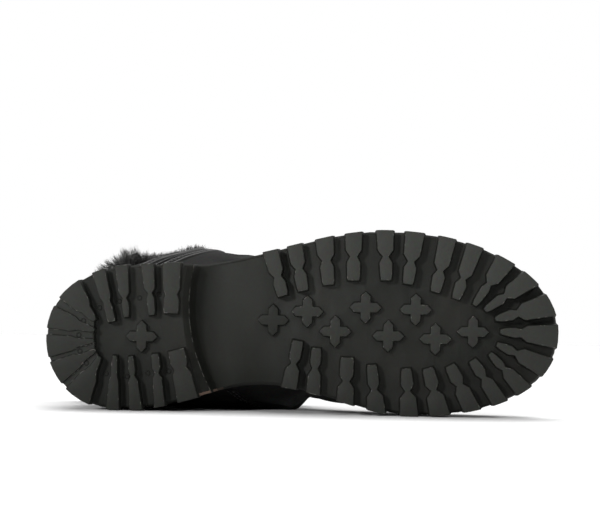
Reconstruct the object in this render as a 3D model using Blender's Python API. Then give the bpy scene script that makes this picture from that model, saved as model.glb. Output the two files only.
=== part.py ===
"""Fur-lined ankle boot with a lug sole, right foot, lying on its inner side.

Sizes are millimetres in the boot's own directions: x runs from heel to toe, z rises
from the floor, which the inner side touches at z = 0, to the outer side, and h is the
height above the plane of the tread. MM turns them to metres where a mesh is made.
In the scene x is +X, h is +Y and z is +Z.
"""

import math

import bmesh
import bpy
import numpy as np
from mathutils import Vector
from mathutils.bvhtree import BVHTree

MM = 0.001
GAP = 0.3  # clearance between pieces that touch
SEAT_GAP = 0.42  # the same over the curved seat

# ---------------------------------------------------------------- driving sizes
SOLE_LENGTH = 277.0
LUG_DEPTH = 6.5
LUG_DRAFT = 0.7  # how far a lug's foot stands out all round
LUG_PROUD = 0.7  # how far a lug stands out of the sides, less round the ends
LUG_RISE = 5.0  # how far its outer end runs up the side
LUG_SUNK = 1.2  # how far the rest of its foot is sunk in the sole
HEEL_NOTCH, FRONT_NOTCH = 2.8, 3.4  # half the length of a lug's notch, at the heel and in front
OUTER_END = (-1.0, -0.4, 0.4, 1.0)  # points of a lug's outer end, in half widths
BACK_DEPTH = 1.4  # of the grooves round the back of the heel, which are shallower
BACK_INSET = 0.4  # how far their floor stays inside the sole's edge
CROSS_SPAN = 17.4
CROSS_ARM = 5.2
CROSS_DEPTH = 3.6
CROSS_DRAFT = 0.4  # how far its foot stands out all round
CROSS_SUNK = 1.0
WALL = 2.2  # leather with its backing
FUR_DEPTH = 6.0
FUR_DROP = 28.0  # how far the lining goes down inside the shaft
INSOLE_THICKNESS = 3.0
INSOLE_GAP = 0.8  # clearance to the upper's inside
ZIP_WIDTH = 6.0
ZIP_THICKNESS = 1.2
ZIP_TOP = 0.8  # width of its top against its foot

# Plan of the sole: half-ellipses at the ends, (x, z) stations between them.
HEEL_AXIS_Z = 37.9
TOE_AXIS_Z = 46.0
HEEL_END = {"inner": (37.0, 2.0), "outer": (55.0, 2.22)}  # (length, power)
TOE_END = {"inner": (82.0, 2.28), "outer": (95.0, 2.05)}
EDGE = {
    "inner": [(37, 0), (50, 0.1), (62, 2.0), (76, 5.6), (90, 9.8), (104, 13.2), (118, 14.6),
              (130, 13.8), (144, 11.0), (158, 7.3), (172, 3.4), (184, 0.9), (195, 0)],
    "outer": [(55, 78.4), (69, 79.6), (82, 79.2), (92, 80.8), (106, 83.6), (122, 87.3),
              (138, 91.5), (154, 95.5), (170, 98.1), (182, 99.1)],
}

# Side profiles of the sole: (x, h)
SOLE_FOOT_ROUND = (1.3, 2.5)  # the wall's lower edge: (inset, rise) of its bevel
SOLE_TOP_ROUND = (0.8, 2.5)
TREAD = [(0, 0.0), (105, 2.0), (118, 1.0), (140, 0.0), (205, 0.0), (225, 0.8), (245, 3.2),
         (262, 6.6), (277, 10.5)]
HEEL_TREAD_END = 90.0
SEAT = [(0, 39.0), (40, 38.0), (70, 36.0), (100, 29.8), (130, 23.4), (160, 20.0), (190, 18.8),
        (215, 19.2), (240, 22.0), (262, 26.2), (277, 30.0)]
# Underside between the lugs, from the heel's floor over the breast to the shank: (x, h)
# with x measured where the breast reaches furthest back.
UNDERSIDE = [(72.5, 6.5), (76.0, 9.5), (76.8, 15.0), (78.6, 18.6), (82.0, 20.8), (87.0, 21.6),
             (95.0, 20.6), (104.0, 17.6), (114.0, 13.4), (124.0, 9.8), (136.0, 7.4), (150.0, 6.5)]
BREAST_AXIS_Z = 58.0
BREAST_CURVE = 0.0062  # how fast the breast curves forward from that axis, per mm
BREAST_LINE, BREAST_REACH = 84.0, 46.0  # lines this near that line bend with the breast
BACK_LUGS_END = 20.0  # lugs whose outer end is behind this x stand round the back

# Lugs: middle of the outer end, middle of the inner end, widths at the outer end, at the
# waist, at the inner lobe and at the inner end, and the waist's place along the lug.
LUGS = [
    # outer x, z  inner x, z   outer waist lobe end  at
    (120.0, 86.2, 127.7, 62.9, 8.6, 3.8, 6.7, 5.7, 0.57),
    (133.4, 89.9, 138.6, 65.9, 8.3, 3.6, 6.7, 5.8, 0.52),
    (149.5, 94.0, 152.2, 69.3, 10.0, 4.5, 7.3, 6.0, 0.48),
    (165.0, 97.0, 165.6, 72.0, 9.3, 3.8, 7.3, 6.8, 0.49),
    (182.8, 98.7, 183.3, 72.4, 9.4, 3.0, 7.0, 5.8, 0.52),
    (198.9, 98.5, 195.0, 70.6, 10.4, 3.2, 6.7, 5.6, 0.56),
    (216.1, 95.3, 209.8, 66.6, 9.4, 3.0, 6.7, 5.3, 0.60),
    (231.2, 91.3, 220.9, 63.1, 9.2, 2.6, 6.2, 4.6, 0.62),
    (247.3, 84.9, 230.9, 60.0, 11.0, 2.6, 4.8, 2.8, 0.54),
    (261.2, 75.4, 236.8, 57.3, 10.7, 2.6, 5.4, 2.8, 0.56),
    (272.5, 61.1, 242.5, 52.7, 13.0, 3.4, 5.8, 2.6, 0.61),
    (275.8, 43.6, 245.3, 46.2, 13.0, 4.2, 5.4, 2.8, 0.64),
    (271.6, 26.8, 243.6, 39.2, 11.6, 2.6, 5.1, 2.8, 0.63),
    (258.9, 14.5, 239.9, 34.1, 9.4, 2.4, 4.6, 2.8, 0.59),
    (245.8, 7.5, 230.5, 30.4, 8.6, 2.6, 6.0, 4.6, 0.59),
    (230.5, 2.9, 218.5, 27.4, 9.4, 3.4, 7.0, 5.5, 0.56),
    (213.3, 0.1, 206.6, 25.6, 10.8, 2.6, 7.2, 5.8, 0.52),
    (197.6, -0.2, 194.9, 25.2, 9.8, 2.6, 6.7, 5.1, 0.51),
    (179.5, 1.3, 176.3, 26.8, 10.2, 2.8, 6.1, 5.1, 0.46),
    (162.8, 5.6, 163.1, 30.4, 9.4, 3.5, 7.4, 7.0, 0.47),
    (145.5, 10.1, 146.4, 35.2, 7.7, 2.9, 5.6, 5.1, 0.54),
    (132.2, 13.1, 136.3, 38.9, 8.5, 2.6, 6.1, 6.0, 0.51),
    (28.0, 73.3, 35.3, 47.1, 7.4, 3.6, 4.6, 4.2, 0.60),
    (40.3, 75.7, 43.2, 49.8, 7.2, 1.8, 3.8, 3.0, 0.63),
    (54.4, 77.1, 56.9, 51.1, 7.0, 2.0, 4.3, 3.5, 0.57),
    (67.2, 78.2, 67.3, 52.3, 9.8, 6.2, 8.4, 8.0, 0.62),
    (12.3, 63.9, 26.0, 47.6, 14.6, 5.6, 5.0, 2.6, 0.66),
    (2.6, 49.1, 26.0, 42.3, 12.6, 5.0, 4.6, 2.2, 0.64),
    (1.3, 33.7, 26.0, 36.6, 12.4, 5.0, 4.2, 2.0, 0.64),
    (5.9, 19.5, 26.8, 31.6, 13.2, 5.2, 4.0, 2.0, 0.64),
    (17.5, 5.7, 29.2, 28.0, 15.4, 6.4, 4.4, 2.4, 0.62),
    (36.7, 0.7, 37.3, 28.8, 7.0, 3.4, 3.4, 2.6, 0.62),
    (49.7, 0.7, 45.9, 28.7, 6.8, 2.0, 3.6, 2.8, 0.63),
    (62.4, 2.8, 59.1, 30.3, 5.8, 1.8, 4.5, 4.0, 0.63),
    (78.0, 6.2, 70.4, 32.6, 11.4, 6.6, 9.0, 9.2, 0.62),
]
CROSSES = [(122.3, 49.8), (141.0, 54.8), (156.3, 44.3), (172.4, 57.6), (184.9, 42.4),
           (199.5, 57.0), (210.4, 41.3), (230.6, 45.6), (51.3, 39.5)]

# Rings of the upper, from the seat to the topline. A ring runs from its back point to its
# front point; it reaches z = inner and z = outer at x = wide, with the given powers of its
# corners, and keeps the given share of the sole's own plan.
RINGS = [
    # back x, h   front x, h    wide  inner outer  power inner, outer  share of the plan
    (3.4, 39.0, 273.6, 30.4, 70, 2.5, 77.0, 2.2, 2.2, 1.00),
    (1.8, 46.0, 272.8, 38.5, 72, 1.2, 79.0, 2.5, 2.2, 0.82),
    (1.0, 56.0, 268.5, 46.5, 76, -0.7, 82.0, 3.0, 2.3, 0.36),
    (1.8, 66.0, 259.0, 54.0, 78, -0.7, 84.4, 3.2, 2.3, 0.12),
    (3.8, 76.0, 242.0, 60.0, 79, -0.7, 86.3, 3.3, 2.15, 0.02),
    (6.2, 87.0, 213.0, 67.0, 79, -0.7, 87.8, 3.4, 2.0, 0.0),
    (7.8, 97.0, 184.0, 79.0, 76, -0.7, 88.9, 3.4, 1.85, 0.0),
    (8.2, 105.5, 163.0, 93.0, 74, -0.7, 89.7, 3.5, 1.8, 0.0),
    (8.0, 114.0, 147.5, 108.0, 73, -0.7, 90.3, 4.0, 1.8, 0.0),
    (7.4, 122.5, 137.5, 122.5, 72, -0.7, 90.6, 4.8, 1.85, 0.0),
    (6.8, 130.0, 132.6, 135.0, 71, -0.7, 90.7, 5.4, 1.9, 0.0),
]
# How far the inner side rises off the floor in front of the shaft's fold: (x, z)
HOLLOW = [(128, 0.0), (133, 2.5), (138, 9.5), (146, 11.0), (156, 9.0), (168, 6.0), (185, 3.0),
          (205, 1.2), (230, 0.0)]
# Reach of the fur past the topline: x, on the outer side, on the inner side
FUR_REACH = [(-5, 5.0, 3.0), (10, 9.0, 3.0), (22, 10.0, 3.0), (31, 6.5, 3.0), (38, 2.6, 3.0),
             (46, 0.4, 3.0), (60, 0.3, 3.0), (70, 0.8, 3.0), (80, 0.4, 3.0), (95, 0.3, 2.4),
             (115, 0.6, 1.2), (132, 1.0, 0.6)]
FUR_SIDES = (30.0, 55.0)  # z over which the inner side's reach turns into the outer side's
# Section of the fur's roll, from the topline's inside over its outside and back in:
# share of the reach, distance in from the topline, height above it
FUR_ROLL = [(0.0, 2.5, 0.3), (0.0, 0.0, 0.3), (0.75, 0.0, 0.8), (1.0, 0.0, 4.1), (0.7, 1.0, 8.1),
            (0.0, 2.2, 9.0), (0.0, 6.4, 7.2), (0.0, 8.6, 3.2)]
PLAN_SHARE = 0.945  # the upper's plan at the seat against the sole's
RING_STEPS = 2  # rings lofted for each row of the table
BACK_STEPS, FRONT_STEPS = 7, 15  # points of a quarter ring
DENSE_STEPS = 160
SHARP_ANGLE = 35.0  # edges turning more than these degrees stay sharp

# The zip's route on the outer side, from its foot to its head: (h, x)
ZIP_ROUTE = [(52.0, 50.0), (62.0, 56.5), (72.0, 64.0), (82.0, 70.0), (94.0, 74.6), (108.0, 77.6),
             (124.0, 79.5)]

COLOURS = {  # base colour (linear), roughness, metallic
    "outsole": ((0.034, 0.034, 0.032), 0.62, 0.0),
    "upper": ((0.026, 0.026, 0.026), 0.5, 0.0),
    "fur_collar": ((0.045, 0.046, 0.045), 0.95, 0.0),
    "insole": ((0.05, 0.05, 0.048), 0.9, 0.0),
    "zip_chain": ((0.02, 0.02, 0.02), 0.6, 0.0),
}


# ---------------------------------------------------------------- curves and surfaces
def smooth(table, x):
    """Value at x of the smooth curve through the table's rows, level at both ends."""
    xs, ys = [row[0] for row in table], [row[1] for row in table]
    if x <= xs[0] or x >= xs[-1]:
        return ys[0] if x <= xs[0] else ys[-1]
    slopes = [0.0] * len(xs)
    for i in range(1, len(xs) - 1):
        slopes[i] = (ys[i + 1] - ys[i - 1]) / (xs[i + 1] - xs[i - 1])
    i = next(k for k in range(1, len(xs)) if x <= xs[k]) - 1
    span = xs[i + 1] - xs[i]
    t = (x - xs[i]) / span
    return ((1 + 2 * t) * (1 - t) ** 2 * ys[i] + t * (1 - t) ** 2 * span * slopes[i]
            + t * t * (3 - 2 * t) * ys[i + 1] + t * t * (t - 1) * span * slopes[i + 1])


def lerp(a, b, t):
    return a + (b - a) * t


def edge(x, side):
    """z of the sole's inner or outer edge at x."""
    back, back_power = HEEL_END[side]
    front, front_power = TOE_END[side]
    stations = EDGE[side]
    if x < back:
        reach, power, axis, wide = 1 - x / back, back_power, HEEL_AXIS_Z, stations[0][1]
    elif x > SOLE_LENGTH - front:
        reach, power = (x - SOLE_LENGTH + front) / front, front_power
        axis, wide = TOE_AXIS_Z, stations[-1][1]
    else:
        return smooth(stations, x)
    return axis + (wide - axis) * (1 - min(reach, 1.0) ** power) ** (1 / power)


def axis_z(x):
    return lerp(HEEL_AXIS_Z, TOE_AXIS_Z, x / SOLE_LENGTH)


def tread(x):
    return 0.0 if x < HEEL_TREAD_END else smooth(TREAD, x)


def breast_shift(station, z):
    """How far a line across the sole bends forward at z; only lines near the breast bend."""
    bend = max(0.0, 1 - abs(station - BREAST_LINE) / BREAST_REACH)
    return BREAST_CURVE * (z - BREAST_AXIS_Z) ** 2 * bend * bend * (3 - 2 * bend)


def underside(station):
    """h of the floor between the lugs."""
    if station > UNDERSIDE[-1][0]:
        return tread(station) + LUG_DEPTH
    return smooth(UNDERSIDE, station)


def underside_at(x, z):
    station = x
    for _ in range(6):
        station = x - breast_shift(station, z)
    return underside(station)


def seat(x):
    return smooth(SEAT, x)


# ---------------------------------------------------------------- meshes
def new_object(name, bm):
    """An object of the closed mesh, its faces pointing out, in metres and its material."""
    for vert in bm.verts:
        x, z, h = vert.co
        vert.co = Vector((x, h, z)) * MM
    bmesh.ops.recalc_face_normals(bm, faces=bm.faces)
    mesh = bpy.data.meshes.new(name)
    bm.to_mesh(mesh)
    bm.free()
    mesh.shade_smooth()
    mesh.set_sharp_from_angle(angle=math.radians(SHARP_ANGLE))
    obj = bpy.data.objects.new(name, mesh)
    bpy.context.scene.collection.objects.link(obj)
    if name in COLOURS:
        colour, roughness, metallic = COLOURS[name]
        material = bpy.data.materials.new(name)
        material.use_nodes = True
        shader = material.node_tree.nodes["Principled BSDF"]
        shader.inputs["Base Color"].default_value = (*colour, 1.0)
        shader.inputs["Roughness"].default_value = roughness
        shader.inputs["Metallic"].default_value = metallic
        mesh.materials.append(material)
    return obj


def add_loft(bm, rows, ends_joined=False):
    """Triangles between each closed row of points and the next; gives the rows' vertices."""
    verts = [[bm.verts.new(point) for point in row] for row in rows]
    pairs = list(zip(verts, verts[1:]))
    if ends_joined:
        pairs.append((verts[-1], verts[0]))
    for row, following in pairs:
        for k in range(len(row)):
            n = (k + 1) % len(row)
            bm.faces.new((row[k], row[n], following[n]))
            bm.faces.new((row[k], following[n], following[k]))
    return verts


def add_prism(bm, face_loop, foot_loop):
    """A closed block between two loops of as many points."""
    face, foot = add_loft(bm, [face_loop, foot_loop])
    bm.faces.new(face)
    bm.faces.new(foot)


def add_ladder(bm, loop):
    """Closes a loop that runs from back to front and back again with rungs across it."""
    half = len(loop) // 2
    bm.faces.new((loop[0], loop[1], loop[-1]))
    for k in range(1, half - 1):
        bm.faces.new((loop[k], loop[k + 1], loop[-k - 1], loop[-k]))
    bm.faces.new((loop[half - 1], loop[half], loop[half + 1]))


def plan_normals(loop):
    """Unit normals in plan of a closed loop of (x, z, ...) points, pointing out."""
    plan = np.array(loop)[:, :2]
    run = np.roll(plan, -1, axis=0) - np.roll(plan, 1, axis=0)
    normals = np.stack([-run[:, 1], run[:, 0]], axis=1)
    normals /= np.linalg.norm(normals, axis=1)[:, None]
    out = ((plan - plan.mean(axis=0)) * normals).sum()
    return normals if out > 0 else -normals


def moved_in(loop, distance):
    normals = plan_normals(loop)
    return [(x - nx * distance, z - nz * distance, h) for (x, z, h), (nx, nz) in zip(loop, normals)]


# ---------------------------------------------------------------- outsole
def sole_stations():
    """Places of the lines across the sole, closer where it curves."""
    heel_length, toe_length = HEEL_END["outer"][0], TOE_END["outer"][0]
    heel = [heel_length * (1 - math.cos(math.radians(a))) for a in range(9, 90, 9)]
    toe = [SOLE_LENGTH - toe_length * (1 - math.cos(math.radians(a))) for a in range(82, 0, -9)]
    breast = [x for x, _ in UNDERSIDE if x < 100]
    waist = list(range(104, 180, 10))
    return heel + [56.0, 65.0] + breast + waist + toe


def sole_loops():
    """The wall's loops, from the underside to the seat: (plan moved in, h at a station)."""
    foot_inset, foot_rise = SOLE_FOOT_ROUND
    top_inset, top_rise = SOLE_TOP_ROUND
    loops = []
    for inset, height in (
        (foot_inset, lambda s, x: underside(s)),
        (0.0, lambda s, x: underside(s) + foot_rise),
        (0.0, lambda s, x: seat(x) - top_rise),
        (top_inset, lambda s, x: seat(x)),
    ):
        sides = {}
        for side in ("outer", "inner"):
            sides[side] = []
            for station in sole_stations():
                x = station
                for _ in range(4):
                    x = station + breast_shift(station, edge(x, side))
                sides[side].append((x, edge(x, side), height(station, x)))
        back = (0.0, HEEL_AXIS_Z, height(0.0, 0.0))
        tip = (SOLE_LENGTH, TOE_AXIS_Z, height(SOLE_LENGTH, SOLE_LENGTH))
        loop = [back] + sides["outer"] + [tip] + sides["inner"][::-1]
        loops.append(moved_in(loop, inset) if inset else loop)
    return loops


def add_underside(bm, loop, columns=7):
    """Closes the lowest loop with a grid whose lines across follow the breast."""
    stations = sole_stations()
    half = len(loop) // 2
    rows = []
    for k, station in enumerate(stations, start=1):
        outer, inner = loop[k], loop[-k]
        row = [inner]
        for c in range(1, columns):
            z = lerp(inner.co.y, outer.co.y, c / columns)
            straight = lerp(inner.co.x - breast_shift(station, inner.co.y),
                            outer.co.x - breast_shift(station, outer.co.y), c / columns)
            row.append(bm.verts.new((straight + breast_shift(station, z), z, underside(station))))
        rows.append(row + [outer])
    for row, following in zip(rows, rows[1:]):
        for c in range(columns):
            bm.faces.new((row[c], row[c + 1], following[c + 1], following[c]))
    for tip, row in ((loop[0], rows[0]), (loop[half], rows[-1])):
        for c in range(columns):
            bm.faces.new((tip, row[c], row[c + 1]))


def plan_outline():
    """Closed plan of the sole's edge with its running length."""
    turns = np.linspace(0, math.pi, 300)
    xs = SOLE_LENGTH * (1 - np.cos(turns)) / 2
    points = [(x, edge(x, "outer")) for x in xs] + [(x, edge(x, "inner")) for x in xs[-2::-1]]
    points = np.array(points)
    steps = np.linalg.norm(np.diff(points, axis=0), axis=1)
    return points, np.concatenate([[0.0], np.cumsum(steps)])


def on_outline(outline, length):
    points, lengths = outline
    length %= lengths[-1]
    return np.array([np.interp(length, lengths, points[:, 0]),
                     np.interp(length, lengths, points[:, 1])])


def lug_loop(row, outline, grow, stand_out):
    """Plan of a lug: its outer end follows the sole's edge, and notches make its waist."""
    outer, inner = np.array(row[0:2]), np.array(row[2:4])
    outer_width, waist_width, lobe_width, end_width, waist_at = row[4:9]
    points, lengths = outline
    middle = lengths[np.argmin(np.linalg.norm(points - outer, axis=1))]
    start = on_outline(outline, middle)
    along = (inner - start) / np.linalg.norm(inner - start)
    length = np.linalg.norm(inner - start)
    across = np.array([-along[1], along[0]])
    notch = (HEEL_NOTCH if outer[0] < HEEL_TREAD_END else FRONT_NOTCH) / length
    stages = [  # place along the lug, width there
        (waist_at - notch, lerp(outer_width, lobe_width, waist_at - 0.1)),
        (waist_at, waist_width),
        (waist_at + notch, lobe_width),
        (0.92, lerp(lobe_width, end_width, 0.6)),
        (1 + grow / length, end_width - 0.6),
    ]
    sides = {}
    for sign in (1, -1):
        sides[sign] = [start + along * length * at + across * sign * (width / 2 + grow)
                       for at, width in stages]
    ends = [on_outline(outline, middle + step * (outer_width / 2 + grow)) for step in OUTER_END]
    ends = [end - along * stand_out * (1 - 0.8 * along[0] ** 2) for end in ends]
    if (ends[2] - ends[0]) @ across < 0:
        ends.reverse()
    return ends + sides[1] + sides[-1][::-1]


def add_lug(bm, row, outline):
    face = [(x, z, tread(x)) for x, z in lug_loop(row, outline, 0.0, LUG_PROUD - 0.2)]
    foot = []
    for k, (x, z) in enumerate(lug_loop(row, outline, LUG_DRAFT, LUG_PROUD)):
        sunk = LUG_RISE if k < len(OUTER_END) else LUG_SUNK
        foot.append((x, z, underside_at(x, z) + sunk))
    add_prism(bm, face, foot)


def add_back_floor(bm, rows, outline, count=14):
    """The raised floor between the lugs round the back, from the first of them to the last."""
    points, lengths = outline
    first, last = (lengths[np.argmin(np.linalg.norm(points - row[0:2], axis=1))]
                   for row in (rows[0], rows[-1]))
    if first < last:
        first += lengths[-1]
    inner = [(row[2] - BACK_INSET, row[3]) for row in rows]
    loops = []
    for grow, h in ((0.0, BACK_DEPTH), (LUG_DRAFT, LUG_DEPTH + LUG_SUNK)):
        loop = []
        for length in np.linspace(first, last, count):
            here, ahead = on_outline(outline, length), on_outline(outline, length + 0.5)
            run = (ahead - here) / np.linalg.norm(ahead - here)
            normal = np.array([-run[1], run[0]])
            if (here - np.array(inner[len(inner) // 2])) @ normal < 0:
                normal = -normal
            loop.append((*(here - normal * BACK_INSET), h))
        loop += [(x + grow, z, h) for x, z in reversed(inner)]
        loops.append(loop)
    add_prism(bm, *loops)


def add_cross(bm, centre):
    """A raised cross with pointed arms."""
    tip, arm = CROSS_SPAN / 2, CROSS_ARM / 2
    shoulder = tip - arm
    quarter = [(arm, arm), (shoulder, arm), (tip, 0.0), (shoulder, -arm)]
    loops = []
    for grow, sunk in ((0.0, -CROSS_DEPTH), (CROSS_DRAFT, CROSS_SUNK)):
        loop = []
        for turn in range(4):
            cos, sin = round(math.cos(turn * math.pi / 2)), round(math.sin(turn * math.pi / 2))
            for along, out in quarter:
                along += grow if along > arm else math.copysign(grow, along)
                out += math.copysign(grow, out) if out else 0.0
                x, z = centre[0] + along * cos + out * sin, centre[1] - along * sin + out * cos
                loop.append((x, z, underside_at(*centre) + sunk))
        loops.append(loop)
    add_prism(bm, *loops)


def make_outsole():
    base = bmesh.new()
    walls = add_loft(base, sole_loops())
    add_underside(base, walls[0])
    add_ladder(base, walls[-1])
    outsole = new_object("outsole", base)

    outline = plan_outline()
    back_floor = bmesh.new()
    add_back_floor(back_floor, [row for row in LUGS if row[0] < BACK_LUGS_END], outline)
    blocks = bmesh.new()
    for row in LUGS:
        add_lug(blocks, row, outline)
    for centre in CROSSES:
        add_cross(blocks, centre)
    for name, bm in (("back_floor", back_floor), ("lugs", blocks)):
        bmesh.ops.triangulate(bm, faces=bm.faces)
        block = new_object(name, bm)
        block.hide_render = True
        block.display_type = "WIRE"
        union = outsole.modifiers.new(name, "BOOLEAN")
        union.operation = "UNION"
        union.solver = "EXACT"
        union.object = block
    return outsole


# ---------------------------------------------------------------- upper
def ring_rows():
    """The rows of RINGS with smooth rows between them."""
    count = (len(RINGS) - 1) * RING_STEPS + 1
    columns = [[(k, row[c]) for k, row in enumerate(RINGS)] for c in range(len(RINGS[0]))]
    rows = []
    for i in range(count):
        at = i / RING_STEPS
        rows.append([through(column, at) for column in columns])
    return rows


def through(table, x):
    """Like smooth, but running straight out of both ends."""
    first, last = table[0], table[-1]
    before = (2 * first[0] - table[1][0], 2 * first[1] - table[1][1])
    after = (2 * last[0] - table[-2][0], 2 * last[1] - table[-2][1])
    return smooth([before] + table + [after], x)


def side_point(row, side, x, fullness):
    """The ring's point at x, where its own curve is this full of its reach."""
    back_x, back_h, front_x, front_h, _, inner, outer, _, _, share = row
    run = (x - back_x) / (front_x - back_x)
    axis = lerp(HEEL_AXIS_Z, TOE_AXIS_Z, run)
    plan_x = run * SOLE_LENGTH
    plan = axis + (edge(plan_x, side) - axis_z(plan_x)) * PLAN_SHARE
    reach, lift = (inner, smooth(HOLLOW, x) * fullness) if side == "inner" else (outer, 0.0)
    z = lerp(axis + (reach - axis) * fullness + lift, plan, share)
    sag = seat(x) - lerp(seat(back_x), seat(front_x), run)
    h = seat(x) + SEAT_GAP if share > 0.999 else lerp(back_h, front_h, run) + share * sag
    return x, z, h


def paced(points, count):
    """This many points along a dense run, closer where it turns, without its last."""
    points = np.array(points)
    steps = np.diff(points[:, :2], axis=0)
    lengths = np.linalg.norm(steps, axis=1)
    heading = np.unwrap(np.arctan2(steps[:, 1], steps[:, 0]))
    turning = np.abs(np.diff(heading, prepend=heading[0]))
    pace = lengths / lengths.sum() + turning / turning.sum()
    run = np.concatenate([[0.0], np.cumsum(pace)])
    at = np.linspace(0.0, run[-1], count + 1)[:-1]
    return [tuple(np.interp(a, run, points[:, c]) for c in range(3)) for a in at]


def ring_side(row, side):
    """Half a ring, from its back point to just before its front point."""
    back_x, front_x, wide = row[0], row[2], row[4]
    power = row[7] if side == "inner" else row[8]
    turns = np.linspace(0.0, math.pi / 2, DENSE_STEPS)
    shares = [(math.cos(turn) ** (2 / power), math.sin(turn) ** (2 / power)) for turn in turns]
    back = [side_point(row, side, wide - (wide - back_x) * u, v) for u, v in shares]
    front = [side_point(row, side, wide + (front_x - wide) * u, v) for u, v in shares[::-1]]
    return paced(back, BACK_STEPS) + paced(front, FRONT_STEPS)


def upper_rings():
    rings = []
    for row in ring_rows():
        outer, inner = ring_side(row, "outer"), ring_side(row, "inner")
        tip_h = seat(row[2]) + SEAT_GAP if row[9] > 0.999 else row[3]
        tip = (row[2], TOE_AXIS_Z, tip_h)
        rings.append(outer + [tip] + inner[:0:-1])
    return np.array(rings)


def outward_normals(rings):
    """Normals of the lofted rings; level on the first and the last ring."""
    around = np.roll(rings, -1, axis=1) - np.roll(rings, 1, axis=1)
    up = np.gradient(rings, axis=0)
    normals = np.cross(around, up)
    for end in (0, -1):
        normals[end, :, 2] = 0.0
    normals /= np.linalg.norm(normals, axis=2)[:, :, None]
    centres = rings.mean(axis=1)[:, None, :]
    flip = np.sign(((rings - centres) * normals).sum())
    return normals * flip


def make_upper(rings, normals):
    bm = bmesh.new()
    inside = rings - normals * WALL
    add_loft(bm, list(rings) + list(inside[::-1]), ends_joined=True)
    return new_object("upper", bm)


def make_insole(rings, normals):
    """The sock on the seat, following the upper's inside."""
    bm = bmesh.new()
    loops = []
    for ring, lift in ((0, SEAT_GAP), (1, SEAT_GAP + INSOLE_THICKNESS)):
        loop = rings[ring] - normals[ring] * (WALL + INSOLE_GAP)
        loops.append([(x, z, seat(x) + lift) for x, z, _ in loop])
    for verts in add_loft(bm, loops):
        add_ladder(bm, verts)
    return new_object("insole", bm)


def fur_reach(point):
    """How far the fur stands out past the topline beside this point."""
    x, z, _ = point
    to_outer = min(max((z - FUR_SIDES[0]) / (FUR_SIDES[1] - FUR_SIDES[0]), 0.0), 1.0)
    outer, inner = (smooth([(row[0], row[side]) for row in FUR_REACH], x) for side in (1, 2))
    return lerp(inner, outer, to_outer)


def make_fur_collar(rings, normals):
    """Lining of the shaft with its roll over the topline, as one soft ring."""
    topline = rings[-1]
    lining = [k for k in range(len(rings)) if rings[k][0][2] > topline[0][2] - FUR_DROP]
    against = [rings[k] - normals[k] * (WALL + SEAT_GAP) for k in lining]
    free = [rings[k] - normals[k] * (WALL + SEAT_GAP + FUR_DEPTH) for k in lining]
    reach = np.array([fur_reach(point) for point in topline])[:, None]
    roll = []
    for share, inwards, rise in FUR_ROLL:
        loop = topline + normals[-1] * (reach * share - inwards) + np.array([0.0, 0.0, rise])
        loop[:, 1] = np.maximum(loop[:, 1], -LUG_PROUD)
        roll.append(loop)
    bm = bmesh.new()
    add_loft(bm, free + roll[::-1] + against[::-1], ends_joined=True)
    return new_object("fur_collar", bm)


# ---------------------------------------------------------------- zip
def zip_frames(rings, count=15):
    """Places along the zip on the upper's outer side: point, across the zip, normal."""
    bm = bmesh.new()
    add_loft(bm, list(rings))
    bm.normal_update()
    skin = BVHTree.FromBMesh(bm)
    above = 200.0
    points, normals = [], []
    for k in range(count):
        at = k / (count - 1)
        h = lerp(ZIP_ROUTE[0][0], ZIP_ROUTE[-1][0], at)
        x = through(ZIP_ROUTE, h)
        point, normal, _, _ = skin.ray_cast(Vector((x, above, h)), Vector((0, -1, 0)))
        points.append(point)
        normals.append(normal if normal.y > 0 else -normal)
    bm.free()
    frames = []
    for k, point in enumerate(points):
        along = (points[min(k + 1, count - 1)] - points[max(k - 1, 0)]).normalized()
        near = normals[max(k - 1, 0)] + normals[k] + normals[min(k + 1, count - 1)]
        across = along.cross(near).normalized()
        frames.append((point, across, across.cross(along).normalized()))
    return frames


def make_zip_chain(frames):
    bm = bmesh.new()
    rows = []
    for point, across, normal in frames:
        low, high = point + normal * GAP, point + normal * (GAP + ZIP_THICKNESS)
        side = across * ZIP_WIDTH / 2
        rows.append([low - side, low + side, high + side * ZIP_TOP, high - side * ZIP_TOP])
    verts = add_loft(bm, rows)
    bm.faces.new(verts[0])
    bm.faces.new(verts[-1])
    return new_object("zip_chain", bm)


# ---------------------------------------------------------------- assembly
def to_bottom_centre(objects):
    """Moves the assembly so that the middle of its footprint on the floor is the origin."""
    bpy.context.view_layer.update()
    graph = bpy.context.evaluated_depsgraph_get()
    corners = []
    for obj in objects:
        if not obj.hide_render:
            corners += [obj.matrix_world @ Vector(corner) for corner in obj.evaluated_get(graph).bound_box]
    low = Vector(min(corner[i] for corner in corners) for i in range(3))
    high = Vector(max(corner[i] for corner in corners) for i in range(3))
    shift = Vector(((low.x + high.x) / 2, (low.y + high.y) / 2, low.z))
    for obj in objects:
        obj.location -= shift


def main():
    for obj in list(bpy.data.objects):
        bpy.data.objects.remove(obj, do_unlink=True)
    make_outsole()
    rings = upper_rings()
    normals = outward_normals(rings)
    make_upper(rings, normals)
    make_insole(rings, normals)
    make_fur_collar(rings, normals)
    make_zip_chain(zip_frames(rings))
    to_bottom_centre(list(bpy.data.objects))


main()
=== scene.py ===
import math

import bmesh
import bpy
import numpy as np
from mathutils import Matrix, Vector
from mathutils.bvhtree import BVHTree
from mathutils.kdtree import KDTree


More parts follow.
